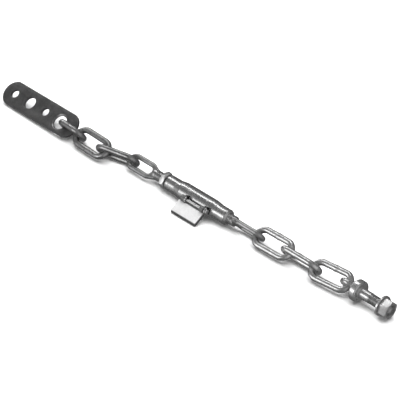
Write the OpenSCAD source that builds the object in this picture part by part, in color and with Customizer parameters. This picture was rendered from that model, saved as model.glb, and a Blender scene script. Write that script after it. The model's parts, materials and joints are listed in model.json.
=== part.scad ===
/* [Chain links] */
// Diameter of the link wire
link_wire = 10; // [8:0.5:11]
// Length of the loop inside a standard link
link_inner_len = 55.5; // [50:1:65]
// Width of the loop inside every link
link_inner_w = 16; // [14:0.5:18]
// Length of the loop inside the short link that carries the plate
short_inner_len = 36.5; // [36:0.5:48]

/* [Anchor plate] */
// Width of the flat bar
plate_w = 41; // [36:1:44]
// Thickness of the flat bar
plate_t = 5; // [4:0.5:7]
// Distance from one hole to the next
hole_pitch = 35.8; // [32:0.1:38]
// Diameter of the two outer adjusting holes
pin_hole_d = 13.5; // [12:0.5:15]
// Diameter of the middle adjusting hole
big_hole_d = 20; // [16:0.5:22]
// Diameter of the hole that the short link runs through
link_hole_d = 22; // [20:0.5:24]
// Width of the bevelled rim on both faces of that hole
link_hole_rim = 2.5; // [2:0.1:3]
// Sideways offset of that hole from the middle line of the bar
link_hole_offset = 1.8; // [0:0.1:2]
// Radius of the rounded ends
plate_end_r = 21; // [20.5:0.5:24]
// Distance from the link hole to the tip beside it
near_tip = 34; // [31:0.5:34]
// Distance from the last adjusting hole to the far tip
far_tip = 22; // [20:0.1:26]

/* [Turnbuckle] */
// Length of the barrel
barrel_len = 128; // [124:1:140]
// Diameter of the fat middle of the barrel
mid_d = 28; // [27:0.5:29]
// Length of the fat middle
mid_len = 61.5; // [58:1:66]
// Length of each taper between the middle and the ends
taper_len = 12; // [7:1:14]
// Diameter of the swaged ends
end_d = 24.5; // [23:0.5:25]
// Width of the slope that rounds off each end
nose_len = 3; // [2:0.5:4]
// Wall of the tube in the fat middle
wall = 3; // [2.5:0.5:4]

/* [Eye bolts] */
// Diameter of every screwed shank
shank_d = 16; // [15:0.5:16]
// Diameter of the wire of the long eyes
eye_wire = 8; // [7.5:0.5:9]
// Length of the opening in a long eye
eye_inner_len = 42; // [38:0.5:44]
// Width of the opening in a long eye
eye_inner_w = 11.6; // [11.4:0.1:12.5]
// Overall reach of a shank, from the eye's opening to its point
shank_reach = 81; // [76:1:84]
// Distance from the barrel to the left eye's opening
left_gap = 35.5; // [34:0.5:38]
// Distance from the barrel to the right eye's opening
right_gap = 19.5; // [18:0.5:24]
// Thickness of the thin nut that locks the barrel
lock_nut_h = 8.5; // [8:0.5:10]

/* [Lock flap] */
// Width of the flap along the barrel
flap_w = 50.5; // [48:0.5:51]
// Length of the flap from the pin to the bend
flap_len = 24.3; // [23:0.1:24.5]
// Thickness of the flap sheet
flap_t = 2.5; // [2:0.5:3]
// Height of the turned-down lip along the free edge
lip_h = 5.3; // [4.5:0.1:5.4]
// Depth of the turned-down sides
side_h = 5.2; // [4:0.2:6]
// Slope of the flap below level
flap_slope = 31; // [27:1:31]
// Diameter of the hinge pin
pin_d = 4; // [3.5:0.5:4]
// Length of each rolled knuckle
knuckle_len = 7; // [6:0.5:9]
// Thickness of each lug welded to the barrel
lug_t = 3; // [2.5:0.5:4]

/* [End bolt] */
// Diameter of the round collar
end_collar_d = 32.5; // [30:0.5:33]
// Thickness of the round collar
end_collar_t = 12; // [10:0.5:14]
// Free length of shank between the collar and the washer
grip_len = 38.5; // [34:1:42]
// Length of thread on the end bolt in front of the washer
free_thread = 20; // [18.5:0.5:24]
// Diameter of the opening in the round eye
end_eye_d = 12; // [12:0.5:13]
// Diameter of the wire of the round eye
end_eye_wire = 9.5; // [9:0.5:9.5]
// Outside diameter of the washer
washer_d = 31; // [28:0.5:31]
// Thickness of the washer
washer_t = 3; // [2.5:0.5:4]
// Width of the nut across its flats
nut_af = 24; // [24:0.5:25]
// Height of the nut
nut_h = 14.5; // [13:0.5:16]

/* [Resting lay] */
// Lean of the plate and of every second loop
lean_flat = 35; // [34:1:40]
// Lean of the loops that stand on edge between them
lean_edge = -55; // [-56:1:-46]
// Sideways place of the left pivots, from the turnbuckle outwards
left_y = [-0.8, -15.2, -13.4, -11.7]; // [-18:0.1:5]
// Sideways place of the right pivots, from the turnbuckle outwards
right_y = [0.2, 0.7, 0.7, 5.7]; // [-5:0.1:12]
// Slack between the left eye and its link, and between the two links beyond
left_slack = [3, 4.5]; // [0:0.5:6]
// Slack between the right eye and its link
right_slack = 1.4; // [0:0.1:4]

/* [Hidden] */

// The arc faceting of the preview; the true surfaces are round
$fn = 64;

// Gap left between two wires that pull on each other
touch_gap = 0.3;
// Radial clearance of a thread or pin that turns in its hole
run_gap = 0.05;
// How far the end bolt's thread lies under its plain shank
thread_under = 0.3;
axis_z = mid_d / 2;

// Frame origin, measured from the middle of the barrel: under the middle of the object's box
frame_x = -21.72;
frame_y = -8.1;

// Height of the pivots above the ground, from the turnbuckle outwards
left_z = [14.2, 15.8, 15.8, 15.8];
right_z = [14.8, 15.8, 15.8, 17];
// Height of the plate's far tip and of the nut's end, on the ends' own axes
far_tip_lift = 13.2;
far_tip_y = -9;
nut_end_lift = 15.5;
nut_end_y = 5.2;

// Pivot at a given distance from another, at a stated side place and height
function next_pivot(p, len, y, z, side) =
    [p.x + side * sqrt(len * len - pow(y - p.y, 2) - pow(z - p.z, 2)), y, z];

link_pitch = link_inner_len - touch_gap;
short_pitch = short_inner_len - touch_gap;
left_eye_x = -barrel_len / 2 - left_gap;
right_eye_x = barrel_len / 2 + right_gap;

L0 = [left_eye_x - eye_inner_len + touch_gap / 2 + left_slack[0], left_y[0], left_z[0]];
L1 = next_pivot(L0, link_pitch, left_y[1], left_z[1], -1);
L1_outer = L1 + [left_slack[1], 0, 0];
L2 = next_pivot(L1_outer, link_pitch, left_y[2], left_z[2], -1);
L3 = next_pivot(L2, short_pitch, left_y[3], left_z[3], -1);
R0 = [right_eye_x + eye_inner_len - touch_gap / 2 - right_slack, right_y[0], right_z[0]];
R1 = next_pivot(R0, link_pitch, right_y[1], right_z[1], 1);
R2 = next_pivot(R1, link_pitch, right_y[2], right_z[2], 1);
R3 = next_pivot(R2, link_pitch, right_y[3], right_z[3], 1);

// Plate: the link pulls on the near side of its hole
plate_back = link_hole_d / 2 + 3 * hole_pitch + far_tip;
L4 = next_pivot(L3, plate_back, far_tip_y, far_tip_lift, -1);

// End bolt, measured along its axis from the pull point in its eye
end_eye_r = (end_eye_d + end_eye_wire) / 2;
eye_to_collar = 4.3;
end_collar_x = end_eye_d + eye_to_collar;
grip_x = end_collar_x + end_collar_t;
washer_x = grip_x + grip_len;
nut_x = washer_x + washer_t;
end_thread_r = shank_d / 2 - thread_under;
bolt_chamfer = 1.5;
bolt_end_x = nut_x + nut_h + bolt_chamfer;
R4 = next_pivot(R3, bolt_end_x, nut_end_y, nut_end_lift, 1);

// Forged shoulder between a long eye and its shank
shoulder_len = 5.5;
shoulder_run = 4;
shoulder_half_w = 12.5;
shoulder_inset = 0.6;
shank_chamfer = 2;

// Hinge of the flap, beside the barrel
knuckle_r = pin_d / 2 + run_gap + flap_t + 0.15;
hinge_out = mid_d / 2 + knuckle_r + 0.4;
hinge_rise = 17.5;
hinge_y = -hinge_out * cos(hinge_rise);
hinge_z = hinge_out * sin(hinge_rise);
flap_x0 = -20.2;
lug_gap = 0.3;
left_knuckle_x = flap_x0 + 3.2;
left_lug_x = left_knuckle_x + knuckle_len + lug_gap;
right_knuckle_x = flap_x0 + flap_w - knuckle_len - 1;
right_lug_x = flap_x0 + flap_w + 2 * lug_gap;

// How the flats of the two nuts lie
lock_nut_turn = 26;
hex_nut_turn = -14;

steel_dark = [0.30, 0.30, 0.31];
steel_mid = [0.48, 0.47, 0.45];
steel_bright = [0.66, 0.66, 0.66];
zinc = [0.80, 0.81, 0.82];

// Stands a child on its local +X axis between two points, turned by lean about that axis
module between(a, b, lean) {
    d = b - a;
    translate(a - [frame_x, frame_y, 0])
        rotate([lean, -atan2(d.z, norm([d.x, d.y])), atan2(d.y, d.x)])
            children();
}

// Places a child on the turnbuckle's axis
module on_turnbuckle(lean = 0) {
    translate([-frame_x, -frame_y, axis_z])
        rotate([lean, 0, 0])
            children();
}

// A closed loop of round wire; its opening starts at the origin and runs along +X
module loop(inner_len, inner_w, wire) {
    bend_r = (inner_w + wire) / 2;
    first = inner_w / 2;
    last = inner_len - inner_w / 2;
    for (side = [-1, 1])
        translate([first, side * bend_r, 0])
            rotate([0, 90, 0])
                cylinder(h = last - first, d = wire);
    translate([first, 0, 0])
        rotate([0, 0, 90])
            rotate_extrude(angle = 180)
                translate([bend_r, 0])
                    circle(d = wire);
    translate([last, 0, 0])
        rotate([0, 0, -90])
            rotate_extrude(angle = 180)
                translate([bend_r, 0])
                    circle(d = wire);
}

// A round bar turned on the +X axis from [along, radius] pairs
module turned(profile) {
    rotate([90, 0, 90])
        rotate_extrude()
            polygon([for (p = profile) [p[1], p[0]]]);
}

module plate_outline() {
    tip_drop = plate_end_r - sqrt(pow(plate_end_r, 2) - pow(plate_w / 2, 2));
    length = plate_back + near_tip - link_hole_d / 2;
    translate([tip_drop, -plate_w / 2])
        square([length - 2 * tip_drop, plate_w]);
    for (x = [plate_end_r, length - plate_end_r])
        intersection() {
            translate([x, 0])
                circle(r = plate_end_r, $fn = 96);
            translate([0, -plate_w / 2])
                square([length, plate_w]);
        }
}

module anchor_plate() {
    link_x = far_tip + 3 * hole_pitch;
    rim_depth = plate_t / 2 - 0.3;
    color(steel_dark)
        between(L4, L3, lean_flat)
            translate([touch_gap / 2, 0, 0])
                difference() {
                    translate([0, link_hole_offset, -plate_t / 2])
                        linear_extrude(plate_t)
                            plate_outline();
                    for (i = [0:2])
                        translate([far_tip + i * hole_pitch, link_hole_offset, -plate_t])
                            cylinder(h = 2 * plate_t, d = i == 1 ? big_hole_d : pin_hole_d);
                    translate([link_x, 0, -plate_t])
                        cylinder(h = 2 * plate_t, d = link_hole_d);
                    for (turn = [0, 180])
                        translate([link_x, 0, 0])
                            rotate([turn, 0, 0])
                                translate([0, 0, plate_t / 2 - rim_depth])
                                    cylinder(h = 2 * rim_depth, d1 = link_hole_d,
                                             d2 = link_hole_d + 4 * link_hole_rim);
                }
}

module short_link() {
    color(steel_mid)
        between(L3, L2, lean_edge)
            translate([-touch_gap / 2, 0, 0])
                loop(short_inner_len, link_inner_w, link_wire);
}

module standard_link(a, b, lean) {
    between(a, b, lean)
        translate([-touch_gap / 2, 0, 0])
            loop(link_inner_len, link_inner_w, link_wire);
}

module left_link_1() {
    color(steel_mid)
        standard_link(L2, L1_outer, lean_flat);
}

module left_link_2() {
    color(steel_mid)
        standard_link(L1, L0, lean_edge);
}

module right_link_1() {
    color(steel_bright)
        standard_link(R0, R1, lean_flat);
}

module right_link_2() {
    color(steel_bright)
        standard_link(R1, R2, lean_edge);
}

module right_link_3() {
    color(steel_bright)
        standard_link(R2, R3, lean_flat);
}

// Long eye with its opening ending at the origin and its shank along +X
module long_eye_bolt() {
    bend_r = (eye_inner_w + eye_wire) / 2;
    bend_x = -eye_inner_w / 2;
    neck_x = bend_x + bend_r + shoulder_len;
    shank_r = shank_d / 2;
    translate([-eye_inner_len, 0, 0])
        loop(eye_inner_len, eye_inner_w, eye_wire);
    // Forged shoulder between the eye and the shank
    difference() {
        translate([0, 0, (shoulder_inset - eye_wire) / 2])
            linear_extrude(eye_wire - shoulder_inset)
                polygon([[bend_x + 2, shoulder_half_w],
                         [neck_x + shoulder_run, shank_r - shoulder_inset],
                         [neck_x + shoulder_run, shoulder_inset - shank_r],
                         [bend_x + 2, -shoulder_half_w]]);
        translate([bend_x, 0, -eye_wire])
            cylinder(h = 2 * eye_wire, r = bend_r);
    }
    turned([[bend_x + bend_r, 0], [bend_x + bend_r, eye_wire / 2], [neck_x, shank_r],
            [shank_reach - shank_chamfer, shank_r], [shank_reach, shank_r - shank_chamfer],
            [shank_reach, 0]]);
}

module left_eye_bolt() {
    color(steel_mid)
        on_turnbuckle(lean_flat)
            translate([left_eye_x, 0, 0])
                long_eye_bolt();
}

module right_eye_bolt() {
    color(steel_mid)
        on_turnbuckle(lean_edge)
            translate([right_eye_x, 0, 0])
                mirror([1, 0, 0])
                    long_eye_bolt();
}

// Hexagonal nut running along +X from the origin, with both faces chamfered
module hex_body(height, thread_r) {
    corner_r = nut_af / sqrt(3);
    slope_len = (corner_r - nut_af / 2) * 0.6;
    difference() {
        intersection() {
            rotate([0, 90, 0])
                cylinder(h = height, r = corner_r, $fn = 6);
            turned([[0, 0], [0, nut_af / 2 + 0.4], [slope_len, corner_r + 0.4],
                    [height - slope_len, corner_r + 0.4], [height, nut_af / 2 + 0.4], [height, 0]]);
        }
        translate([-1, 0, 0])
            rotate([0, 90, 0])
                cylinder(h = height + 2, r = thread_r + run_gap);
    }
}

module lock_nut() {
    color(steel_mid)
        on_turnbuckle(lock_nut_turn)
            translate([-barrel_len / 2 - touch_gap - lock_nut_h, 0, 0])
                hex_body(lock_nut_h, shank_d / 2);
}

// Thick tube drawn down at both ends to the size of the screwed shanks
module barrel() {
    half = barrel_len / 2;
    mid = mid_len / 2;
    wide_r = mid_d / 2 - wall;
    bore_r = shank_d / 2 + run_gap;
    nose_r = bore_r + 1.2;
    outer = [[-half, nose_r], [-half + nose_len, end_d / 2], [-mid - taper_len, end_d / 2],
             [-mid, mid_d / 2], [mid, mid_d / 2], [mid + taper_len, end_d / 2],
             [half - nose_len, end_d / 2], [half, nose_r]];
    inner = [[half, bore_r], [mid + taper_len, bore_r], [mid, wide_r],
             [-mid, wide_r], [-mid - taper_len, bore_r], [-half, bore_r]];
    color(steel_dark)
        on_turnbuckle()
            turned(concat(outer, inner));
}

// Places a child on the flap's hinge line, with +X along the pin
module on_hinge() {
    on_turnbuckle()
        translate([0, hinge_y, hinge_z])
            children();
}

// Ear that carries the pin, cut to sit on the round barrel
module lug(x) {
    root = mid_d / 2 - 1;
    difference() {
        translate([x, 0, 0])
            rotate([90, 0, 90])
                linear_extrude(lug_t)
                    hull() {
                        translate([hinge_y, hinge_z])
                            circle(r = knuckle_r - 0.2, $fn = 32);
                        for (turn = [-28, 12])
                            translate([-root * cos(hinge_rise + turn), root * sin(hinge_rise + turn)])
                                circle(r = 1, $fn = 16);
                    }
        translate([x - 1, hinge_y, hinge_z])
            rotate([0, 90, 0])
                cylinder(h = lug_t + 2, d = pin_d);
        translate([x - 1, 0, 0])
            rotate([0, 90, 0])
                cylinder(h = lug_t + 2, d = mid_d);
    }
}

module flap_lugs() {
    color(steel_mid)
        on_turnbuckle()
            for (x = [left_lug_x, right_lug_x])
                lug(x);
}

module hinge_pin() {
    head_t = 1.8;
    start = left_knuckle_x - 0.8;
    end = right_lug_x + lug_t + 0.2;
    color(zinc)
        on_hinge()
            turned([[start, 0], [start, pin_d / 2 - 0.5], [start + 0.5, pin_d / 2],
                    [end, pin_d / 2], [end, pin_d / 2 + 1.5], [end + head_t - 0.6, pin_d / 2 + 1.5],
                    [end + head_t, pin_d / 2 + 0.9], [end + head_t, 0]]);
}

// Pressed leaf with turned-down sides that hangs from two rolled knuckles
module lock_flap() {
    top = 1.2;
    notch = knuckle_r + 0.6;
    face = -pin_d / 2 - run_gap;
    color(zinc)
        on_hinge()
            rotate([flap_slope, 0, 0])
                difference() {
                    union() {
                        translate([flap_x0, -flap_len, face - flap_t])
                            cube([flap_w, flap_len - top, flap_t]);
                        for (x = [flap_x0, flap_x0 + flap_w - flap_t])
                            translate([x, -flap_len + 1, face - side_h])
                                cube([flap_t, flap_len - notch - 1, side_h]);
                        for (x = [left_knuckle_x, right_knuckle_x]) {
                            translate([x, 0, 0])
                                rotate([0, 90, 0])
                                    cylinder(h = knuckle_len, r = knuckle_r);
                            translate([x, -2 * top, face - flap_t])
                                cube([knuckle_len, 2 * top, flap_t]);
                        }
                        // The lip hangs plumb while the leaf slopes
                        translate([flap_x0, -flap_len, face])
                            rotate([-flap_slope, 0, 0])
                                translate([0, 0, -lip_h])
                                    cube([flap_w, flap_t, lip_h]);
                    }
                    for (x = [left_knuckle_x, right_knuckle_x])
                        translate([x - 1, 0, 0])
                            rotate([0, 90, 0])
                                cylinder(h = knuckle_len + 2, d = pin_d + 2 * run_gap);
                    translate([left_lug_x - lug_gap, -notch, face - flap_t - 1])
                        cube([lug_t + 2 * lug_gap, notch + 1, flap_t + 2]);
                }
}

// Round eye, collar and screwed shank in one forging
module end_eye_bolt() {
    color(steel_bright)
        between(R3, R4, lean_edge) {
            translate([end_eye_d / 2 - touch_gap / 2, 0, 0])
                rotate_extrude()
                    translate([end_eye_r, 0])
                        circle(d = end_eye_wire);
            turned([[end_collar_x - 1.5, 0], [end_collar_x - 1.5, end_collar_d / 2 - 5],
                    [end_collar_x, end_collar_d / 2 - 2], [end_collar_x + 2, end_collar_d / 2],
                    [grip_x - 1.5, end_collar_d / 2], [grip_x, end_collar_d / 2 - 1.5],
                    [grip_x, shank_d / 2], [washer_x - free_thread, shank_d / 2],
                    [washer_x - free_thread, end_thread_r],
                    [bolt_end_x - bolt_chamfer, end_thread_r],
                    [bolt_end_x, end_thread_r - bolt_chamfer], [bolt_end_x, 0]]);
        }
}

module flat_washer() {
    color(zinc)
        between(R3, R4, 0)
            turned([[washer_x, shank_d / 2 + 0.5], [washer_x, washer_d / 2],
                    [nut_x, washer_d / 2], [nut_x, shank_d / 2 + 0.5]]);
}

module hex_nut() {
    color(zinc)
        between(R3, R4, hex_nut_turn)
            translate([nut_x, 0, 0])
                hex_body(nut_h, end_thread_r);
}

anchor_plate();
short_link();
left_link_1();
left_link_2();
left_eye_bolt();
lock_nut();
barrel();
flap_lugs();
hinge_pin();
lock_flap();
right_eye_bolt();
right_link_1();
right_link_2();
right_link_3();
end_eye_bolt();
flat_washer();
hex_nut();
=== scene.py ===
"""Tractor check chain with a turnbuckle: the visible pieces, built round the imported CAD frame."""

import json
import math

import bmesh
import bpy
import numpy as np
from mathutils import Matrix, Vector, noise


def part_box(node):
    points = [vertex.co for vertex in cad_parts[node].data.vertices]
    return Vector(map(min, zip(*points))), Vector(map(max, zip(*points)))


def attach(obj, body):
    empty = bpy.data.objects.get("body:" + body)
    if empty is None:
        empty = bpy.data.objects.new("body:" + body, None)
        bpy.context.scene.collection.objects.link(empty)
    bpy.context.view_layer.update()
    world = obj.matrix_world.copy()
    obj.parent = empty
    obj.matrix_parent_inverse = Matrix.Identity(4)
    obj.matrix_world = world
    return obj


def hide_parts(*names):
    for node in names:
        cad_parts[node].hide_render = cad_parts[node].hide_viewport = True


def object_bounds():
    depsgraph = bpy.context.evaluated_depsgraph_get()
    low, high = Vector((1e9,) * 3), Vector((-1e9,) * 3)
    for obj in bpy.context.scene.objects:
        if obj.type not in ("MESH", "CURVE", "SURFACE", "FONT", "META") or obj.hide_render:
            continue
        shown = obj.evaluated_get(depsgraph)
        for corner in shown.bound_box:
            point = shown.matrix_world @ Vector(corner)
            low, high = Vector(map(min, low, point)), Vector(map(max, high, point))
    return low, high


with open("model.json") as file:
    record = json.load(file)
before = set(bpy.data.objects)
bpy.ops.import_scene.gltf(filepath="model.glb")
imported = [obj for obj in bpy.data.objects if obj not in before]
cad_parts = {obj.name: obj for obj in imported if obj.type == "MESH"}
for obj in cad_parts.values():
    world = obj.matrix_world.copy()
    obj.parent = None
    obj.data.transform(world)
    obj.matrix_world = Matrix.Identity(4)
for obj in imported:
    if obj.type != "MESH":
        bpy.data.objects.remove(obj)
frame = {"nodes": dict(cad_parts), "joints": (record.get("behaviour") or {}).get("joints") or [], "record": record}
CAD_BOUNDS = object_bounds()
MM = 0.001
NODES = frame["nodes"]
RECORD = frame["record"]
JOINTS = {j["name"]: j for j in frame["joints"]}
MOUNTS = {m["name"]: m for m in RECORD["mounts"]}


# ---------------------------------------------------------------- frames read from the CAD

def welded(node):
    """Vertices and triangles of a CAD node as arrays."""
    mesh = NODES[node].data
    mesh.calc_loop_triangles()
    verts = np.array([v.co[:] for v in mesh.vertices], float)
    tris = np.array([t.vertices[:] for t in mesh.loop_triangles], int)
    return verts, tris


def principal_frame(node):
    """Matrix of a symmetric node's middle and axes, longest first, and its size along them."""
    verts, tris = welded(node)
    corners = verts[tris]
    area = np.linalg.norm(np.cross(corners[:, 1] - corners[:, 0], corners[:, 2] - corners[:, 0]), axis=1) / 2
    total = corners.sum(1)
    middle = (area[:, None] * total).sum(0) / (3 * area.sum())
    corners = corners - middle
    total = corners.sum(1)
    spread = np.einsum("t,tci,tcj->ij", area, corners, corners)
    spread += np.einsum("t,ti,tj->ij", area, total, total)
    _, axes = np.linalg.eigh(spread)
    x, y = Vector(axes[:, 2]), Vector(axes[:, 1])
    if x.x < 0:
        x.negate()
    if y.y < 0:
        y.negate()
    return framed(Vector(middle), x, y), extents(verts, middle, x, y)


def framed(origin, x, y):
    """Matrix with this origin, +X along x and +Y as near y as can be."""
    x = x.normalized()
    z = x.cross(y).normalized()
    y = z.cross(x)
    return Matrix.Translation(origin) @ Matrix((x, y, z)).transposed().to_4x4()


def extents(verts, middle, x, y):
    q = verts - np.array(middle)
    axes = [np.array(a) for a in (x, y, x.cross(y))]
    return [float((q @ a).max() - (q @ a).min()) for a in axes]


def axis_frame(node, y=(0, 1, 0)):
    """Frame at the low-X end of a piece turned about the turnbuckle's axis."""
    low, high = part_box(node)
    middle = (low + high) / 2
    return framed(Vector((low.x, middle.y, middle.z)), Vector((1, 0, 0)), Vector(y)), high.x - low.x


# ---------------------------------------------------------------- mesh building

def mesh_object(name, verts, faces, place=Matrix.Identity(4), merge=0.0):
    """A piece whose vertices, given in mm in its own frame, are stored in the row frame."""
    mesh = bpy.data.meshes.new(name)
    mesh.from_pydata([place @ (Vector(v) * MM) for v in verts], [], faces)
    bm = bmesh.new()
    bm.from_mesh(mesh)
    if merge:
        bmesh.ops.remove_doubles(bm, verts=bm.verts, dist=merge * MM)
    bmesh.ops.recalc_face_normals(bm, faces=bm.faces)
    bm.to_mesh(mesh)
    bm.free()
    obj = bpy.data.objects.new(name, mesh)
    bpy.context.scene.collection.objects.link(obj)
    return shade(obj)


def shade(obj, angle=38.0):
    """Smooth faces, sharp where two meet at more than this many degrees."""
    mesh = obj.data
    for poly in mesh.polygons:
        poly.use_smooth = True
    bm = bmesh.new()
    bm.from_mesh(mesh)
    for edge in bm.edges:
        edge.smooth = not (edge.is_manifold and edge.calc_face_angle(0.0) > math.radians(angle))
    bm.to_mesh(mesh)
    bm.free()
    return obj


def bake(obj):
    """Makes an object's modifiers permanent."""
    graph = bpy.context.evaluated_depsgraph_get()
    mesh = bpy.data.meshes.new_from_object(obj.evaluated_get(graph))
    obj.modifiers.clear()
    obj.data = mesh
    return obj


def rounded_edges(obj, width, segments=3, angle=32.0):
    """Small machined radius along the sharp edges."""
    bevel = obj.modifiers.new("radius", "BEVEL")
    bevel.width = width * MM
    bevel.segments = segments
    bevel.limit_method = "ANGLE"
    bevel.angle_limit = math.radians(angle)
    bevel.use_clamp_overlap = True
    bake(obj)
    return shade(obj)


def grid_faces(rows, cols, close_rows=False):
    """Quads of a grid whose columns wrap round."""
    faces = []
    for i in range(rows if close_rows else rows - 1):
        k = (i + 1) % rows
        for j in range(cols):
            n = (j + 1) % cols
            faces.append((i * cols + j, i * cols + n, k * cols + n, k * cols + j))
    return faces


def filleted(points, radii, steps=5):
    """A polyline with its inner corners rounded."""
    out = [Vector(points[0])]
    for a, b, c, r in zip(points, points[1:], points[2:], radii):
        a, b, c = Vector(a), Vector(b), Vector(c)
        u, w = (a - b).normalized(), (c - b).normalized()
        half = u.angle(w) / 2
        cut = min(r / math.tan(half), 0.45 * (a - b).length, 0.45 * (c - b).length)
        start, end = b + u * cut, b + w * cut
        for s in range(steps + 1):
            t = s / steps
            out.append(start * (1 - t) ** 2 + b * 2 * t * (1 - t) + end * t ** 2)
    out.append(Vector(points[-1]))
    return out


def finer(points, step):
    """Adds points along a polyline so that none lie further apart than step."""
    out = [Vector(points[0])]
    for a, b in zip(points, points[1:]):
        n = max(1, math.ceil((Vector(b) - Vector(a)).length / step))
        out += [Vector(a).lerp(Vector(b), s / n) for s in range(1, n + 1)]
    return out


def lathe(name, profile, place, cols=96, closed=False, uneven=0.0, seed=0.0):
    """A round piece turned about its +X axis from (x, radius) points in mm."""
    verts = []
    for x, r in profile:
        for j in range(cols):
            a = 2 * math.pi * j / cols
            p = Vector((x * 0.06, r * math.cos(a) * 0.1, r * math.sin(a) * 0.1 + seed))
            dip = uneven * (0.5 + 0.5 * noise.noise(p)) if r > 1 else 0.0
            verts.append((x, (r - dip) * math.cos(a), (r - dip) * math.sin(a)))
    faces = grid_faces(len(profile), cols, closed)
    if not closed:
        last = (len(profile) - 1) * cols
        faces += [tuple(range(cols)), tuple(range(last, last + cols))]
    return mesh_object(name, verts, faces, place, merge=0.002)


# ---------------------------------------------------------------- chain links

def stadium(length, width, wire, steps=22):
    """Centre line of a link: points and outward normals in its own plane, one straight first."""
    r = (width - wire) / 2
    half = (length - wire) / 2 - r
    straight = [(-half + 2 * half * i / steps, -r, 0, -1) for i in range(steps)]
    turn = [(half + r * math.sin(a), -r * math.cos(a), math.sin(a), -math.cos(a))
            for a in (math.pi * i / steps for i in range(steps))]
    path = straight + turn
    return path + [(-x, -y, -nx, -ny) for x, y, nx, ny in path], half


def link_radius(x, y, turn, wire, weld_side, half, seed):
    """Wire radius with drawn unevenness, a butt weld and its two flash ridges."""
    r = wire / 2
    r -= 0.14 * (0.5 + 0.5 * noise.noise(Vector((x * 0.11, y * 0.11, seed))))
    r -= 0.05 * (0.5 + 0.5 * noise.noise(Vector((x * 0.5, y * 0.5, turn + seed))))
    if y * weld_side > 0 and abs(x) < half:
        at = x - 0.1 * half
        r += 0.42 * math.exp(-(at / 2.6) ** 2)
        r += 0.22 * math.exp(-((abs(at) - 2.0) / 0.45) ** 2)
        r += 0.12 * noise.noise(Vector((x, math.cos(turn) * 2, math.sin(turn) * 2 + seed))) * math.exp(
            -(at / 4.0) ** 2)
    return r


def chain_link(node, weld_side, seed, cols=28):
    place, (length, width, wire) = principal_frame(node)
    length, width, wire = length / MM, width / MM, wire / MM
    path, half = stadium(length, width, wire)
    verts = []
    for x, y, nx, ny in path:
        crown = max(0.0, (abs(x) - half) / (width / 2))
        for j in range(cols):
            a = 2 * math.pi * j / cols
            r = link_radius(x, y, a, wire, weld_side, half, seed)
            out, up = r * math.cos(a), r * math.sin(a)
            out *= 1 - 0.02 * crown * (1 if out > 0 else 0.4)
            verts.append((x + nx * out, y + ny * out, up))
    return mesh_object(node + "_wire", verts, grid_faces(len(path), cols, True), place)


# ---------------------------------------------------------------- anchor plate

def arc(cx, cy, r, a0, a1, n):
    return [(cx + r * math.cos(a0 + (a1 - a0) * i / n), cy + r * math.sin(a0 + (a1 - a0) * i / n))
            for i in range(n + 1)]


def plate_border(low, high, width, tip_r):
    """Outline of the flat bar, both ends rounded nearly to a half circle."""
    a = math.asin(width / 2 / tip_r)
    right = arc(high - tip_r, 0, tip_r, -a, a, 36)
    left = arc(low + tip_r, 0, tip_r, math.pi - a, math.pi + a, 36)
    return right + left


def inset(points, cx, cy, by, hole):
    """Moves an outline in from its metal side by a small amount."""
    out = []
    for (ax, ay), (bx, by_), (dx, dy) in zip(points[-1:] + points[:-1], points, points[1:] + points[:1]):
        t = Vector((dx - ax, dy - ay)).normalized()
        n = Vector((t.y, -t.x))
        if (Vector((bx - cx, by_ - cy)).dot(n) < 0) != hole:
            n = -n
        out.append((bx - n.x * by, by_ - n.y * by))
    return out


def ring_stack(bm, outline, centre, steps, hole):
    """Walls of an outline: steps holds (inset, height) pairs from the top face to the bottom."""
    rings = []
    for by, z in steps:
        pts = inset(outline, centre[0], centre[1], by, hole)
        rings.append([bm.verts.new((x, y, z)) for x, y in pts])
    for upper, lower in zip(rings, rings[1:]):
        n = len(upper)
        for i in range(n):
            k = (i + 1) % n
            bm.faces.new((upper[i], upper[k], lower[k], lower[i]))
    return rings[0], rings[-1]


def cap(bm, rings):
    """Flat face between one outer ring and the hole rings."""
    edges = []
    for ring in rings:
        for a, b in zip(ring, ring[1:] + ring[:1]):
            edges.append(bm.edges.get((a, b)) or bm.edges.new((a, b)))
    bmesh.ops.triangle_fill(bm, use_beauty=True, use_dissolve=False, edges=edges)


def edge_steps(half, wide, deep):
    """Rounded edge from the face down to the wall, and the same below."""
    top = [(wide * (1 - math.sin(a)), half - deep * (1 - math.cos(a)))
           for a in (math.pi / 2 * i / 4 for i in range(5))]
    return top + [(by, -z) for by, z in reversed(top)]


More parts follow.
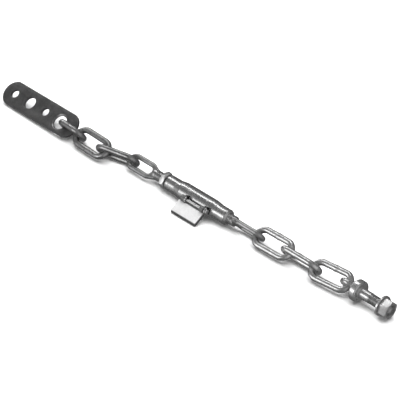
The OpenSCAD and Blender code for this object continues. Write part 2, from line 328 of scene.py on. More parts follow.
def anchor_plate():
    """Flat bar with three adjusting holes and a bevelled hole for the short link."""
    holes = [MOUNTS["plate_hole_%d" % i] for i in (1, 2, 3)]
    first, middle, last = (Vector(m["pos_m"]) for m in holes)
    along, normal = (last - first).normalized(), Vector(holes[0]["axis"]).normalized()
    place = framed(middle, along, normal.cross(along))
    verts, _ = welded("anchor_plate")
    local = np.array([(place.inverted() @ Vector(v))[:] for v in verts]) / MM
    low, high = local.min(0), local.max(0)
    half = (high[2] - low[2]) / 2
    pitch = (last - first).length / MM / 2
    bm = bmesh.new()
    border = plate_border(low[0], high[0], high[1] - low[1], TIP_R)
    tops, bottoms = [], []
    stacks = [(border, (0, 0), edge_steps(half, 0.7, 0.7), False)]
    for k, m in enumerate(holes):
        c = (pitch * (k - 1), 0)
        ring = arc(c[0], c[1], m["dims"]["r_mm"], 0, 2 * math.pi, 64)[:-1]
        stacks.append((ring, c, edge_steps(half, 0.5, 0.4), True))
    c = (2 * pitch, -LINK_HOLE_OFFSET)
    ring = arc(c[0], c[1], LINK_HOLE_R, 0, 2 * math.pi, 96)[:-1]
    rim = [(LINK_HOLE_RIM + 0.25, half), (LINK_HOLE_RIM, half - 0.08), (LINK_HOLE_RIM * 0.62, half - 0.6),
           (LINK_HOLE_RIM * 0.25, half - 1.4), (0.08, half - 1.95), (0.0, 0.15)]
    stacks.append((ring, c, rim + [(by, -z) for by, z in reversed(rim)], True))
    for outline, centre, steps, hole in stacks:
        top, bottom = ring_stack(bm, outline, centre, steps, hole)
        tops.append(top)
        bottoms.append(bottom)
    cap(bm, tops)
    cap(bm, bottoms)
    bmesh.ops.recalc_face_normals(bm, faces=bm.faces)
    for v in bm.verts:
        v.co = place @ (v.co * MM)
    mesh = bpy.data.meshes.new("anchor_plate_bar")
    bm.to_mesh(mesh)
    bm.free()
    obj = bpy.data.objects.new("anchor_plate_bar", mesh)
    bpy.context.scene.collection.objects.link(obj)
    shade(obj, 30)
    return obj, place @ Vector((c[0] * MM, c[1] * MM, 0)), normal


def painted_light_and_shade_faces(obj, material, chosen):
    """Gives a second material to the faces that a test of their middle and normal picks out; here it paints a
    highlight on the plate's link hole rim and shade on the flap.
    """
    obj.data.materials.append(material)
    for poly in obj.data.polygons:
        if chosen(poly.center, poly.normal):
            poly.material_index = 1


def near_line(point, start, direction, reach):
    """Whether a point lies within reach, in mm, of a line."""
    away = point - start
    return (away - direction * away.dot(direction)).length < reach * MM


# ---------------------------------------------------------------- forgings and threads

def forged_copy(node, name, place, cut, voxel, passes):
    """The CAD shape of a forging, up to a cut along its own axis, with its corners worked soft."""
    mesh = NODES[node].data.copy()
    bm = bmesh.new()
    bm.from_mesh(mesh)
    bmesh.ops.remove_doubles(bm, verts=bm.verts, dist=0.003 * MM)
    point = place @ Vector((cut * MM, 0, 0))
    geom = bm.verts[:] + bm.edges[:] + bm.faces[:]
    direction = place.to_3x3() @ Vector((1, 0, 0))
    made = bmesh.ops.bisect_plane(bm, geom=geom, plane_co=point, plane_no=direction, clear_outer=True)
    rim = [e for e in made["geom_cut"] if isinstance(e, bmesh.types.BMEdge)]
    bmesh.ops.holes_fill(bm, edges=rim, sides=0)
    bm.to_mesh(mesh)
    bm.free()
    obj = bpy.data.objects.new(name, mesh)
    bpy.context.scene.collection.objects.link(obj)
    remesh = obj.modifiers.new("skin", "REMESH")
    remesh.mode = "VOXEL"
    remesh.voxel_size = voxel * MM
    smooth = obj.modifiers.new("worked", "SMOOTH")
    smooth.factor = 0.5
    smooth.iterations = passes
    bake(obj)
    return shade(obj, 50)


def thread_profile(phase, depth):
    """How far the surface lies under the crest, at a place within one pitch."""
    away = abs(phase - 0.5) * 2
    flank = min(1.0, max(0.0, (away - 0.16) / 0.68))
    return depth * (flank * flank * (3 - 2 * flank))


def threaded_rod(name, place, start, end, crest, plain=0.0, hand=1, tip=1.6, cols=56, per=9):
    """Screwed shank along +X: a helical grid, plain at first, with a chamfered point."""
    depth, pitch = 0.95, THREAD_PITCH
    turns = math.ceil((end - start) / pitch) + 2
    rows = turns * per
    verts = []
    for i in range(-per, rows):
        for j in range(cols):
            s = j / cols
            x = start + (i / per + hand * s) * pitch
            x = min(end, max(start, x))
            phase = (i / per) % 1.0
            fade = min(1.0, max(0.0, (x - start - plain) / (1.4 * pitch)))
            r = crest - thread_profile(phase, depth) * fade
            r = min(r, crest - tip + (end - x) * 0.9)
            a = 2 * math.pi * s
            verts.append((x, r * math.cos(a), r * math.sin(a)))
    faces = []
    count = rows + per
    for i in range(count - 1):
        for j in range(cols):
            n, step = (j + 1) % cols, 0
            if n == 0:
                step = per * hand
            if 0 <= i + step < count - 1:
                near, far = i * cols + j, (i + step) * cols + n
                faces.append((near, far, far + cols, near + cols))
    obj = mesh_object(name, verts, faces, place, merge=0.004)
    return closed_ends(obj)


def closed_ends(obj):
    bm = bmesh.new()
    bm.from_mesh(obj.data)
    loose = [v for v in bm.verts if not v.link_faces]
    bmesh.ops.delete(bm, geom=loose, context="VERTS")
    bmesh.ops.holes_fill(bm, edges=[e for e in bm.edges if e.is_boundary], sides=0)
    bmesh.ops.recalc_face_normals(bm, faces=bm.faces)
    bm.to_mesh(obj.data)
    bm.free()
    return shade(obj, 50)


def hex_radius(angle, apothem, power=70):
    """Radius of a hexagon with slightly rounded corners."""
    total = sum(max(0.0, math.cos(angle - k * math.pi / 3)) ** power for k in range(6))
    return apothem / total ** (1 / power)


def hex_nut(name, place, height, flats, bore, turn, cols=180, fillet=0.25):
    """Hexagon nut with a cone chamfer that runs out along each flat."""
    apothem = flats / 2
    slope = 0.6
    face_r = apothem * 0.955
    verts, rows = [], 0
    for j in range(cols):
        a = 2 * math.pi * j / cols
        r_hex = hex_radius(a - turn, apothem)
        start = max(0.05, (r_hex - face_r) * slope)
        end = [(0.9, bore), (0.25, bore + 0.35), (0.0, bore + 0.75), (0.0, face_r - 0.5), (0.06, face_r)]
        corner = [(start - fillet * 0.6, r_hex - fillet), (start + fillet * 0.2, r_hex - 0.05),
                  (start + fillet, r_hex)]
        mid = [(max(0.0, x), r) for x, r in end + corner]
        rows_here = mid + [(height - x, r) for x, r in reversed(mid)]
        rows = len(rows_here)
        for x, r in rows_here:
            verts.append((x, r * math.cos(a), r * math.sin(a)))
    faces = []
    for j in range(cols):
        n = (j + 1) % cols
        for i in range(rows):
            k = (i + 1) % rows
            faces.append((j * rows + i, n * rows + i, n * rows + k, j * rows + k))
    return mesh_object(name, verts, faces, place)


# ---------------------------------------------------------------- turnbuckle barrel and flap

def barrel_profile(length, mid_d, end_d):
    """Outside and bore of the swaged tube, from its left end."""
    half, mid = length / 2, BARREL_MID / 2
    outer = [(-half, FACE_R), (-half + 0.5, FACE_R + 0.5), (-half + NOSE, end_d / 2),
             (-mid - TAPER, end_d / 2), (-mid, mid_d / 2), (mid, mid_d / 2), (mid + TAPER, end_d / 2),
             (half - NOSE, end_d / 2), (half - 0.5, FACE_R + 0.5), (half, FACE_R)]
    inner = [(half, MOUTH_R), (half - 0.7, BORE), (mid + TAPER, BORE), (mid, MID_BORE),
             (-mid, MID_BORE), (-mid - TAPER, BORE), (-half + 0.7, BORE), (-half, MOUTH_R)]
    outer = filleted(outer, [0.6, 2.5, 9.0, 9.0, 9.0, 9.0, 2.5, 0.6], 8)
    points = finer(outer, 1.2) + inner
    return [(p[0] + half, p[1]) for p in points]


def ring_marks(profile, marks):
    """Presses shallow grooves into the outside of a profile."""
    out = []
    for x, r in profile:
        dip = sum(depth * math.exp(-((x - at) / wide) ** 2) for at, wide, depth in marks) if r > 11.5 else 0
        out.append((x, r - dip))
    return out


def barrel():
    place, length = axis_frame("barrel")
    low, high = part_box("barrel")
    profile = barrel_profile(length / MM, (high.z - low.z) / MM, BARREL_END)
    profile = ring_marks(profile, RING_MARKS)
    return lathe("barrel_tube", profile, place, cols=112, closed=True, uneven=0.04, seed=4.0)


def hinge_frame():
    joint = JOINTS["flap_hinge"]
    return framed(Vector(joint["pos_m"]), Vector((1, 0, 0)), Vector((0, 1, 0)))


def box_into(bm, xs, ys, zs, turn=0.0, about=(0.0, 0.0)):
    """Adds a closed block, turned about an X-parallel line."""
    c, s = math.cos(math.radians(turn)), math.sin(math.radians(turn))
    corners = []
    for x in xs:
        for y in ys:
            for z in zs:
                u, w = y - about[0], z - about[1]
                corners.append(bm.verts.new((x, about[0] + u * c - w * s, about[1] + u * s + w * c)))
    for f in ((0, 1, 3, 2), (4, 6, 7, 5), (0, 4, 5, 1), (2, 3, 7, 6), (0, 2, 6, 4), (1, 5, 7, 3)):
        bm.faces.new([corners[i] for i in f])


def curl_into(bm, x0, x1, inner, outer, stop=188.0, steps=34):
    """Rolled knuckle: a strip bent from under the pin round to its far side."""
    rings = []
    for i in range(steps + 1):
        a = math.radians(-90 + (stop + 90) * i / steps)
        c, s = math.cos(a), math.sin(a)
        rings.append([bm.verts.new((x, r * c, r * s)) for x, r in
                      ((x0, inner), (x1, inner), (x1, outer), (x0, outer))])
    for a, b in zip(rings, rings[1:]):
        for k in range(4):
            n = (k + 1) % 4
            bm.faces.new((a[k], a[n], b[n], b[k]))
    bm.faces.new(rings[0])
    bm.faces.new(list(reversed(rings[-1])))


def flap_solid(bm):
    """Leaf with a slot for the left lug, two turned-down sides, a plumb lip and two knuckles."""
    f = FLAP
    x0, x1 = f["x0"], f["x0"] + f["w"]
    face, t, top = f["face"], f["t"], f["top"]
    slot0, slot1 = f["slot"]
    low = face - t
    box_into(bm, (x0, x1), (-f["len"], -f["notch"]), (low, face))
    for a, b in ((x0, slot0), (slot1, x1)):
        box_into(bm, (a, b), (-f["notch"] - 1, -top), (low, face))
    for a in (x0, x1 - t):
        box_into(bm, (a, a + t), (-f["len"] + 1, -f["notch"]), (face - f["side"], face))
    box_into(bm, (x0, x1), (-f["len"], -f["len"] + t), (face - f["lip"], face), -f["slope"],
             (-f["len"], face))
    for a in f["knuckles"]:
        box_into(bm, (a, a + f["knuckle"]), (-2 * top - 1, 0.2), (low, face))
        curl_into(bm, a, a + f["knuckle"], f["bore"], f["roll"])


def bend_weights(obj, place):
    """Weights that are high along the three bends of the leaf and low elsewhere."""
    f = FLAP
    group = obj.vertex_groups.new(name="bends")
    back = place.inverted()
    for v in obj.data.vertices:
        p = (back @ v.co) / MM
        to_side = min(abs(p.x - f["x0"]), abs(p.x - f["x0"] - f["w"]))
        to_lip = abs(p.y + f["len"])
        under = abs(p.z - f["face"])
        near = min(math.hypot(to_side, under), math.hypot(to_lip, under))
        away = 1.0 if p.y < -f["notch"] - 1 else 0.0
        group.add([v.index], away * math.exp(-(near / 2.2) ** 2), "REPLACE")
    return group.name


def soft_solid(name, build, place, voxel, passes):
    """A closed union of blocks turned into one even skin with slightly rounded corners."""
    bm = bmesh.new()
    build(bm)
    bmesh.ops.recalc_face_normals(bm, faces=bm.faces)
    for v in bm.verts:
        v.co = place @ (v.co * MM)
    mesh = bpy.data.meshes.new(name)
    bm.to_mesh(mesh)
    bm.free()
    obj = bpy.data.objects.new(name, mesh)
    bpy.context.scene.collection.objects.link(obj)
    remesh = obj.modifiers.new("skin", "REMESH")
    remesh.mode = "VOXEL"
    remesh.voxel_size = voxel * MM
    smooth = obj.modifiers.new("worked", "SMOOTH")
    smooth.factor = 0.5
    smooth.iterations = passes
    return bake(obj)


def lock_flap():
    place = hinge_frame() @ Matrix.Rotation(math.radians(FLAP["slope"]), 4, "X")
    obj = soft_solid("lock_flap_leaf", flap_solid, place, SHEET_VOXEL, 3)
    group = bend_weights(obj, place)
    smooth = obj.modifiers.new("bends", "SMOOTH")
    smooth.factor = 0.5
    smooth.iterations = 34
    smooth.vertex_group = group
    bake(obj)
    return shade(obj, 60)


def lug_outline():
    """Outline of a lug across the barrel: round about the pin, wide at the barrel."""
    place = hinge_frame()
    axis, _ = axis_frame("barrel")
    to_axis = (axis.translation - place.translation) / MM
    towards = math.atan2(to_axis.z, to_axis.y)
    r = LUG["r"]
    ear = [(r * math.cos(towards + a), r * math.sin(towards + a))
           for a in (math.radians(80 + 200 * i / 20) for i in range(21))]
    out = [Vector(p) for p in ear]
    for turn in (-LUG["spread"], -LUG["spread"] / 2, 0, LUG["spread"] / 2, LUG["spread"]):
        a = towards + math.pi + math.radians(turn)
        out.append(Vector((to_axis.y, to_axis.z)) + Vector((math.cos(a), math.sin(a))) * (LUG["root"]))
    return out


def hinge_lug(name, x):
    """Ear cut from plate, its foot sunk a little into the barrel."""
    outline = lug_outline()
    place = hinge_frame()
    n = len(outline)
    verts = [(x, p.x, p.y) for p in outline] + [(x + LUG["t"], p.x, p.y) for p in outline]
    faces = [(i, (i + 1) % n, n + (i + 1) % n, n + i) for i in range(n)]
    faces += [tuple(range(n)), tuple(range(2 * n - 1, n - 1, -1))]
    obj = mesh_object(name, verts, faces, place)
    return rounded_edges(obj, 0.35, 3, 40)


def weld_bead(name, x, side, seed, steps=30, cols=12):
    """Rippled fillet weld round one face of a lug's foot, lying on the barrel."""
    axis, _ = axis_frame("barrel")
    hinge = hinge_frame()
    to_hinge = (hinge.translation - axis.translation) / MM
    centre = math.atan2(to_hinge.z, to_hinge.y)
    place = Matrix.Translation(Vector((hinge.translation.x, axis.translation.y, axis.translation.z)))
    verts = []
    for i in range(steps + 1):
        a = centre + math.radians(-LUG["spread"] - 4 + (2 * LUG["spread"] + 8) * i / steps)
        end = math.sin(math.pi * i / steps) ** 0.35 if 0 < i < steps else 0.15
        ripple = 1 + 0.10 * math.sin(i * 2.1) + 0.12 * noise.noise(Vector((i * 0.4, seed, 0.0)))
        size = 1.15 * end * ripple
        for j in range(cols):
            b = 2 * math.pi * j / cols
            r = LUG["barrel_r"] + 0.15 + size * 0.8 * math.sin(b)
            verts.append((x + side * 0.25 + size * math.cos(b), r * math.cos(a), r * math.sin(a)))
    faces = grid_faces(steps + 1, cols)
    last = steps * cols
    faces += [tuple(range(cols)), tuple(range(last, last + cols))]
    return mesh_object(name, verts, faces, place)


def hinge_pin():
    low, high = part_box("hinge_pin")
    r = PIN_D / 2
    length = (high.x - low.x) / MM
    head = length - 1.8
    head_r = (high.z - low.z) / 2 / MM
    profile = filleted([(0, 0), (0, r - 0.1), (0.3, r), (head, r), (head, head_r), (length - 0.3, head_r),
                        (length, head_r * 0.6), (length, 0)], [0.1, 0.2, 0.1, 0.3, 0.6, 0.3], 4)
    place = Matrix.Translation(Vector((low.x, hinge_frame().translation.y, hinge_frame().translation.z)))
    return lathe("hinge_pin_rod", [(p[0], p[1]) for p in profile], place, cols=40)


# ---------------------------------------------------------------- end bolt

def end_frame():
    """Frame of the end bolt: its axis from the joint, its origin at the eye's low end."""
    axis = Vector(JOINTS["nut_travel"]["axis"]).normalized()
    mount = MOUNTS["end_pin"]
    return framed(Vector(mount["pos_m"]), axis, Vector((0, 1, 0)))


def along(node, place):
    """Lowest and highest place of a node along a frame's +X, in mm."""
    back = place.inverted()
    xs = [(back @ v.co).x / MM for v in NODES[node].data.vertices]
    return min(xs), max(xs)


def flat_washer():
    place = end_frame()
    low, high = along("flat_washer", place)
    outer = WASHER_D / 2
    t = high - low
    profile = filleted([(low, 8.5), (low, outer), (high, outer), (high, 8.5)], [0.5, 0.25], 4)
    profile = [(p[0], p[1]) for p in profile]
    inner = [(low + t - 0.2, 8.5), (low + 0.2, 8.5)]
    obj = lathe("flat_washer_ring", profile + inner, place, cols=96, closed=True, uneven=0.05, seed=9.0)
    return obj


def end_nut():
    place = end_frame()
    low, high = along("hex_nut", place)
    shifted = place @ Matrix.Translation(Vector((low * MM, 0, 0)))
    bore = END_THREAD_R + BORE - SHANK_R
    return hex_nut("hex_nut_body", shifted, high - low, NUT_AF, bore, nut_turn("hex_nut", place))


def nut_turn(node, place):
    """Angle of a nut's first flat, read from the corner that lies furthest from its axis."""
    back = place.inverted()
    best, angle = 0.0, 0.0
    for v in NODES[node].data.vertices:
        p = back @ v.co
        r = math.hypot(p.y, p.z)
        if r > best + 1e-7:
            best, angle = r, math.atan2(p.z, p.y)
    return angle + math.pi / 6


def lock_nut():
    place, height = axis_frame("lock_nut")
    return hex_nut("lock_nut_body", place, height / MM, NUT_AF, BORE, nut_turn("lock_nut", place))


def eye_bolt(node, mirrored):
    """Long eye as one soft forging and its screwed shank."""
    low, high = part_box(node)
    axis = axis_frame("barrel")[0].translation
    x, hand = (high.x, -1) if mirrored else (low.x, 1)
    place = framed(Vector((x, axis.y, axis.z)), Vector((hand, 0, 0)), Vector((0, 1, 0)))
    length = (high.x - low.x) / MM
    neck = length - SHANK_REACH + NECK
    eye = forged_copy(node, node + "_forging", place, neck, FORGED_VOXEL, 9)
    rod = threaded_rod(node + "_thread", place, neck - 3.0, length, SHANK_R, plain=3.2, hand=hand)
    return eye, rod


def end_bolt():
    place = end_frame()
    _, high = along("end_eye_bolt", place)
    grip = along("flat_washer", place)[0]
    start = grip - THREADED_GRIP
    body = forged_copy("end_eye_bolt", "end_bolt_forging", place, start, FORGED_VOXEL, 8)
    rod = threaded_rod("end_bolt_thread", place, start - 2.0, high, END_THREAD_R, plain=2.2, tip=1.7)
    return body, rod


# ---------------------------------------------------------------- finishes

def value_node(tree, kind, **sockets):
    node = tree.nodes.new(kind)
    for name, value in sockets.items():
        node.inputs[name.replace("_", " ")].default_value = value
    return node


def ramp(tree, source, low, high, a=0.0, b=1.0):
    node = tree.nodes.new("ShaderNodeMapRange")
    node.interpolation_type = "SMOOTHSTEP"
    tree.links.new(source, node.inputs["Value"])
    for name, value in (("From Min", low), ("From Max", high), ("To Min", a), ("To Max", b)):
        node.inputs[name].default_value = value
    return node.outputs["Result"]


def blend_colour(tree, factor, a, b, mode="MIX"):
    node = tree.nodes.new("ShaderNodeMix")
    node.data_type = "RGBA"
    node.blend_type = mode
    for socket, value in ((node.inputs[0], factor), (node.inputs[6], a), (node.inputs[7], b)):
        if isinstance(value, bpy.types.NodeSocket):
            tree.links.new(value, socket)
        else:
            socket.default_value = value
    return node.outputs[2]


def arithmetic(tree, operation, a, b):
    node = tree.nodes.new("ShaderNodeMath")
    node.operation = operation
    for socket, value in zip(node.inputs, (a, b)):
        if isinstance(value, bpy.types.NodeSocket):
            tree.links.new(value, socket)
        else:
            socket.default_value = value
    return node.outputs[0]


def weighted(tree, a, share_a, b, share_b):
    """Sum of two values, each times its own share."""
    a, b = arithmetic(tree, "MULTIPLY", a, share_a), arithmetic(tree, "MULTIPLY", b, share_b)
    return arithmetic(tree, "ADD", a, b)


def noise_at(tree, coords, scale, detail=4.0, rough=0.55, stretch=None):
    if stretch:
        mapping = tree.nodes.new("ShaderNodeMapping")
        mapping.inputs["Scale"].default_value = stretch
        tree.links.new(coords, mapping.inputs["Vector"])
        coords = mapping.outputs["Vector"]
    node = value_node(tree, "ShaderNodeTexNoise", Scale=scale, Detail=detail, Roughness=rough)
    tree.links.new(coords, node.inputs["Vector"])
    return node.outputs["Fac"]


def grey(v, warm=0.0):
    return (v * (1 + warm), v, v * (1 - warm), 1.0)


def steel(name, dark, light, rough=(0.28, 0.5), patch=55.0, mottle=320.0, grain=1700.0, wear=0.35,
          hollow_darkening=0.5, spots=0.0, bump=0.35, streak=0.0, metallic=1.0, warm=0.0):
    """Plated steel: patchy tone, grain, darker and rougher hollows, bright worn edges, uneven gloss."""
    mat = bpy.data.materials.new(name)
    mat.use_nodes = True
    tree = mat.node_tree
    shader = tree.nodes["Principled BSDF"]
    shader.inputs["Metallic"].default_value = metallic
    coords = tree.nodes.new("ShaderNodeTexCoord").outputs["Object"]
    big = noise_at(tree, coords, patch, 5.0, 0.6)
    mid = noise_at(tree, coords, mottle, 6.0, 0.62)
    fine = noise_at(tree, coords, grain, 3.0, 0.7)
    line = noise_at(tree, coords, 1.0, 4.0, 0.6, (70.0, 1900.0, 1900.0))
    tone = weighted(tree, big, 0.55, mid, 0.45)
    colour = blend_colour(tree, ramp(tree, tone, 0.36, 0.64), grey(dark, warm), grey(light, warm))
    speck = ramp(tree, fine, 0.56, 0.72, 0.0, 0.35)
    colour = blend_colour(tree, speck, colour, grey(dark * 0.6, warm))
    if streak:
        colour = blend_colour(tree, ramp(tree, line, 0.5, 0.7, 0.0, streak), colour, grey(dark * 0.5, warm))
    if spots:
        stain = noise_at(tree, coords, 150.0, 4.0, 0.7)
        stain = ramp(tree, stain, 0.60, 0.70, 0.0, spots)
        colour = blend_colour(tree, stain, colour, grey(dark * 0.35, warm))
    point = tree.nodes.new("ShaderNodeNewGeometry").outputs["Pointiness"]
    # Darker and rougher in the hollows, where pointiness is low.
    hollow = ramp(tree, point, 0.47, 0.40, 0.0, hollow_darkening)
    colour = blend_colour(tree, hollow, colour, grey(dark * 0.3, warm))
    edge = ramp(tree, point, 0.515, 0.575, 0.0, wear)
    edge = arithmetic(tree, "MULTIPLY", edge, ramp(tree, mid, 0.35, 0.6))
    colour = blend_colour(tree, edge, colour, grey(min(0.92, light * 1.35 + 0.1)))
    tree.links.new(colour, shader.inputs["Base Color"])
    gloss = ramp(tree, weighted(tree, mid, 0.6, fine, 0.4), 0.34, 0.66, rough[0], rough[1])
    gloss = arithmetic(tree, "SUBTRACT", gloss, arithmetic(tree, "MULTIPLY", edge, 0.18))
    tree.links.new(arithmetic(tree, "ADD", gloss, arithmetic(tree, "MULTIPLY", hollow, 0.25)),
                   shader.inputs["Roughness"])
    height = weighted(tree, mid, 0.7, fine, 0.3)
    if streak:
        height = arithmetic(tree, "SUBTRACT", height, arithmetic(tree, "MULTIPLY", line, 0.35))
    relief = value_node(tree, "ShaderNodeBump", Strength=bump, Distance=0.25 * MM)
    tree.links.new(height, relief.inputs["Height"])
    tree.links.new(relief.outputs["Normal"], shader.inputs["Normal"])
    return mat


def kept_inside(obj, node):
    """Brings back any vertex that the unevenness pushed out of the node's CAD box."""
    low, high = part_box(node)
    for v in obj.data.vertices:
        v.co = [min(max(c, a), b) for c, a, b in zip(v.co, low, high)]


def finish_as(obj, material, body, node):
    """Material and body of one visible piece, kept inside its CAD node's box, with that node hidden."""
    kept_inside(obj, node)
    obj.data.materials.clear()
    obj.data.materials.append(material)
    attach(obj, body)
    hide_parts(node)
    return obj


def floor_material():
    mat = bpy.data.materials.new("studio_floor")
    mat.use_nodes = True
    tree = mat.node_tree
    shader = tree.nodes["Principled BSDF"]
    coords = tree.nodes.new("ShaderNodeTexCoord").outputs["Object"]
    tone = noise_at(tree, coords, 3.0, 4.0)
    colour = blend_colour(tree, ramp(tree, tone, 0.3, 0.7), grey(0.93), grey(0.95))
    tree.links.new(colour, shader.inputs["Base Color"])
    tree.links.new(ramp(tree, noise_at(tree, coords, 40.0), 0.3, 0.7, 0.7, 0.85), shader.inputs["Roughness"])
    relief = value_node(tree, "ShaderNodeBump", Strength=0.05, Distance=0.3 * MM)
    tree.links.new(noise_at(tree, coords, 900.0), relief.inputs["Height"])
    tree.links.new(relief.outputs["Normal"], shader.inputs["Normal"])
    return mat


# ---------------------------------------------------------------- stage, light and camera

def stage_floor(size=9.0, cells=12):
    bm = bmesh.new()
    bmesh.ops.create_grid(bm, x_segments=cells, y_segments=cells, size=size)
    mesh = bpy.data.meshes.new("floor")
    bm.to_mesh(mesh)
    bm.free()
    obj = bpy.data.objects.new("floor", mesh)
    obj.location.z = CAD_BOUNDS[0][2] - 0.1 * MM
    bpy.context.scene.collection.objects.link(obj)
    mesh.materials.append(floor_material())
    obj.visible_glossy = False
    obj.visible_diffuse = False


def soft_box(name, at, size, power, target=(0, 0, 0), in_reflections=True):
    light = bpy.data.lights.new(name, "AREA")
    light.shape = "RECTANGLE"
    light.size, light.size_y = size
    light.energy = power
    obj = bpy.data.objects.new(name, light)
    place = Vector(at)
    back = (place - Vector(target)).normalized()
    x = Vector((1, 0, 0))
    x = (x - back * x.dot(back)).normalized()
    y = back.cross(x)
    obj.matrix_world = Matrix.Translation(place) @ Matrix((x, y, back)).transposed().to_4x4()
    obj.visible_glossy = in_reflections
    bpy.context.scene.collection.objects.link(obj)
    return obj


def glow(tree, direction, towards, wide, narrow, strength):
    """Soft patch of brightness round one direction of the surroundings."""
    dot = tree.nodes.new("ShaderNodeVectorMath")
    dot.operation = "DOT_PRODUCT"
    tree.links.new(direction, dot.inputs[0])
    dot.inputs[1].default_value = Vector(towards).normalized()
    low, high = math.cos(math.radians(wide)), math.cos(math.radians(narrow))
    return ramp(tree, dot.outputs["Value"], low, high, 0.0, strength)


def surroundings():
    """A dark studio with a dim patch low on the left, so that plated steel keeps dark outlines."""
    world = bpy.data.worlds.new("studio")
    bpy.context.scene.world = world
    world.use_nodes = True
    tree = world.node_tree
    coords = tree.nodes.new("ShaderNodeTexCoord").outputs["Generated"]
    split = tree.nodes.new("ShaderNodeSeparateXYZ")
    tree.links.new(coords, split.inputs[0])
    level = ramp(tree, split.outputs["Z"], -0.2, 0.9, 0.15, 0.22)
    for towards, wide, narrow, strength in GLOWS:
        level = arithmetic(tree, "ADD", level, glow(tree, coords, towards, wide, narrow, strength))
    background = tree.nodes["Background"]
    colour = tree.nodes.new("ShaderNodeCombineColor")
    for socket in colour.inputs[:3]:
        tree.links.new(level, socket)
    tree.links.new(colour.outputs[0], background.inputs["Color"])
    background.inputs["Strength"].default_value = 1.0


def camera():
    azimuth, elevation = math.radians(CAM["azimuth"]), math.radians(CAM["elevation"])
    toward = Vector((math.cos(elevation) * math.cos(azimuth), -math.cos(elevation) * math.sin(azimuth),
                     math.sin(elevation)))
    spot = Vector((0, 0, CAM["height"])) + toward * CAM["distance"]
    right = Vector((0, 0, 1)).cross(toward).normalized()
    aim = Vector((0, 0, CAM["height"])) + right * CAM["aim_right"] + toward.cross(right) * CAM["aim_up"]
    back = (spot - aim).normalized()
    right = Vector((0, 0, 1)).cross(back).normalized()
    up = back.cross(right)
    roll = math.radians(CAM["roll"])
    x = right * math.cos(roll) + up * math.sin(roll)
    y = up * math.cos(roll) - right * math.sin(roll)
    data = bpy.data.cameras.new("camera")
    data.sensor_width = 36.0
    data.lens = CAM["lens"]
    data.clip_end = 50.0
    obj = bpy.data.objects.new("camera", data)
    obj.matrix_world = Matrix.Translation(spot * MM) @ Matrix((x, y, back)).transposed().to_4x4()
    bpy.context.scene.collection.objects.link(obj)
    bpy.context.scene.camera = obj


# ---------------------------------------------------------------- sizes the frame doesn't carry, in mm

TIP_R = 21.0
LINK_HOLE_R = 11.0
LINK_HOLE_RIM = 2.5
LINK_HOLE_OFFSET = 1.8
THREAD_PITCH = 25.4 / 11
BARREL_MID = 61.5
BARREL_END = 24.5
TAPER = 12.0
NOSE = 3.0
BORE = 8.05
MID_BORE = 11.0
MOUTH_R = 8.2
FACE_R = 9.2
# Place, half width and depth of the marks that run round the barrel
RING_MARKS = ((97.0, 0.7, 0.22), (24.5, 0.9, 0.12), (7.5, 0.6, 0.12), (120.5, 0.6, 0.12))
SHANK_R = 8.0
END_THREAD_R = 7.7
PIN_D = 4.0
NUT_AF = 24.0
WASHER_D = 31.0
SHANK_REACH = 81.0
NECK = 11.0
THREADED_GRIP = 20.0
FORGED_VOXEL = 0.5
SHEET_VOXEL = 0.36
# The flap's painted shade: how far from the pin, and how far a face turns from the leaf's
KNUCKLE_REACH = 5.0
EDGE_TURN = 0.75
FLAP = {"x0": -20.2, "w": 50.5, "len": 24.3, "t": 2.5, "lip": 5.3, "side": 5.2, "slope": 31.0,
        "face": -2.05, "top": 1.2, "notch": 5.3, "slot": (-10.0, -6.4), "knuckles": (-17.0, 22.3),
        "knuckle": 7.0, "bore": 2.05, "roll": 4.7}
LUG = {"x": (-9.7, 30.9), "t": 3.0, "r": 4.5, "root": 13.9, "spread": 20.0, "barrel_r": 14.0}
# Bright patches of the surroundings: direction, outer and inner angle, strength
GLOWS = (((-0.575, -0.78, -0.15), 34, 12, 0.36), ((-0.575, -0.65, 0.45), 30, 10, 0.08),
         ((0.95, -0.20, 0.10), 60, 15, 0.42))
CAM = {"azimuth": 44.833, "elevation": 35.320, "distance": 3787.3, "height": 14.0, "lens": 231.96,
       "aim_right": 22.811, "aim_up": -5.575, "roll": 1.021}


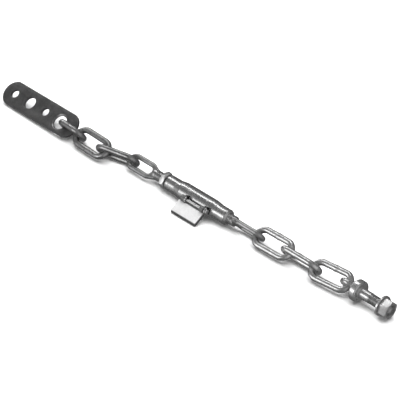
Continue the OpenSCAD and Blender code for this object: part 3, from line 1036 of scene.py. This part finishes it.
def finishes():
    """The materials by name."""
    looks = {
        "plate_steel": dict(dark=0.15, light=0.22, rough=(0.36, 0.55), wear=0.4, spots=0.3, bump=0.35),
        # Lighter material for the bevel and wall of the link hole: a painted highlight.
        "hole_rim_painted_highlight": dict(dark=0.20, light=0.34, rough=(0.30, 0.44), wear=0.4, hollow_darkening=0.2, bump=0.15),
        # Darker copy of the link steel for the left links: painted shade.
        "link_dark": dict(dark=0.30, light=0.48, rough=(0.25, 0.40),
                        wear=0.35, hollow_darkening=0.3, spots=0.3, bump=0.06),
        # Lighter copy of the link steel for the right links: painted light.
        "link_bright": dict(dark=0.56, light=0.78, rough=(0.26, 0.36), wear=0.3, hollow_darkening=0.2, bump=0.04),
        "forged": dict(dark=0.36, light=0.54, rough=(0.30, 0.46),
                     wear=0.45, hollow_darkening=0.5, spots=0.3, bump=0.25),
        # Lighter copy of the forged steel for the end bolt at the right: painted light.
        "forged_painted_light": dict(dark=0.54, light=0.76, rough=(0.24, 0.38), wear=0.4, hollow_darkening=0.35, bump=0.18),
        "thread": dict(dark=0.32, light=0.54, rough=(0.24, 0.42),
                     wear=0.6, hollow_darkening=0.6, streak=0.2, bump=0.2),
        "tube": dict(dark=0.44, light=0.60, rough=(0.24, 0.34),
                   wear=0.3, streak=0.12, spots=0.2, bump=0.05),
        "sheet": dict(dark=0.50, light=0.60, rough=(0.45, 0.65),
                    wear=0.2, mottle=420.0, bump=0.2, metallic=0.2),
        # Dark material for the flap's knuckles, lip and sides: painted shade.
        "sheet_painted_shade": dict(dark=0.16, light=0.26, rough=(0.40, 0.60),
                         wear=0.25, hollow_darkening=0.4, bump=0.2, metallic=0.8),
        "fastener": dict(dark=0.60, light=0.80, rough=(0.28, 0.45), wear=0.4, hollow_darkening=0.4, bump=0.2),
    }
    return {name: steel(name, **look) for name, look in looks.items()}


def finished_plate(mats):
    bar, hole, normal = anchor_plate()
    finish_as(bar, mats["plate_steel"], "anchor_plate", "anchor_plate")
    # The bevel and wall of the link hole get the lighter material: a painted highlight.
    rim = LINK_HOLE_R + LINK_HOLE_RIM + 0.2
    painted_light_and_shade_faces(bar, mats["hole_rim_painted_highlight"],
                  lambda at, n: near_line(at, hole, normal, rim) and abs(n.dot(normal)) < 0.98)


def finished_links(mats):
    """Each link with the side its weld is on and the seed of its unevenness."""
    # Left links take the darker copy of the link steel and right links the lighter one: painted shade and painted
    # light.
    links = (("short_link", 1, 3.0, "link_dark"), ("left_link_1", -1, 5.0, "link_dark"),
             ("left_link_2", 1, 7.0, "link_dark"), ("right_link_1", 1, 11.0, "link_bright"),
             ("right_link_2", -1, 13.0, "link_bright"), ("right_link_3", 1, 17.0, "link_bright"))
    for node, side, seed, look in links:
        finish_as(chain_link(node, side, seed), mats[look], node, node)


def finished_lugs(mats):
    """The two ears with a weld bead on both faces of each."""
    for k, x in enumerate(LUG["x"]):
        ear = hinge_lug("hinge_lug_%d" % (k + 1), x)
        finish_as(ear, mats["forged"], "barrel", "flap_lugs")
        for side, at in ((-1, x), (1, x + LUG["t"])):
            name = "weld_%d_%s" % (k + 1, "left" if side < 0 else "right")
            bead = weld_bead(name, at, side, k * 5.0 + side)
            finish_as(bead, mats["forged"], "barrel", "flap_lugs")


def finished_flap(mats):
    """The pale leaf; its knuckles, lip and sides are darker with painted shade."""
    flap = finish_as(lock_flap(), mats["sheet"], "lock_flap", "lock_flap")
    pin, turn = hinge_frame().translation, math.radians(FLAP["slope"])
    face = Vector((0, -math.sin(turn), math.cos(turn)))
    # Knuckles, lip and sides get the dark material: painted shade.
    painted_light_and_shade_faces(flap, mats["sheet_painted_shade"],
                  lambda at, n: near_line(at, pin, Vector((1, 0, 0)), KNUCKLE_REACH)
                  or n.dot(face) < EDGE_TURN)


def finished_turnbuckle(mats):
    for node, mirrored in (("left_eye_bolt", False), ("right_eye_bolt", True)):
        eye, rod = eye_bolt(node, mirrored)
        finish_as(eye, mats["forged"], node, node)
        finish_as(rod, mats["thread"], node, node)
    finish_as(lock_nut(), mats["fastener"], "lock_nut", "lock_nut")
    finish_as(barrel(), mats["tube"], "barrel", "barrel")
    finished_lugs(mats)
    finish_as(hinge_pin(), mats["fastener"], "barrel", "hinge_pin")
    finished_flap(mats)


def finished_end(mats):
    body, rod = end_bolt()
    # The end bolt's forging takes the lighter copy of the forged steel: painted light.
    finish_as(body, mats["forged_painted_light"], "end_eye_bolt", "end_eye_bolt")
    finish_as(rod, mats["thread"], "end_eye_bolt", "end_eye_bolt")
    finish_as(flat_washer(), mats["fastener"], "flat_washer", "flat_washer")
    finish_as(end_nut(), mats["fastener"], "hex_nut", "hex_nut")


def studio():
    """Floor, surroundings, three soft lights and the camera."""
    stage_floor()
    surroundings()
    soft_box("strip", (-0.86, 0.36, 1.18), (2.2, 0.17), 7.5)
    soft_box("side_card", (-0.33, -1.0, 0.27), (0.74, 0.40), 2.6, (0.25, 0, 0))
    soft_box("overhead", (0.0, 0.2, 2.6), (3.4, 3.0), 150.0, in_reflections=False)
    camera()
    bpy.context.scene.view_settings.view_transform = "Standard"


def main():
    mats = finishes()
    finished_plate(mats)
    finished_links(mats)
    finished_turnbuckle(mats)
    finished_end(mats)
    studio()


main()
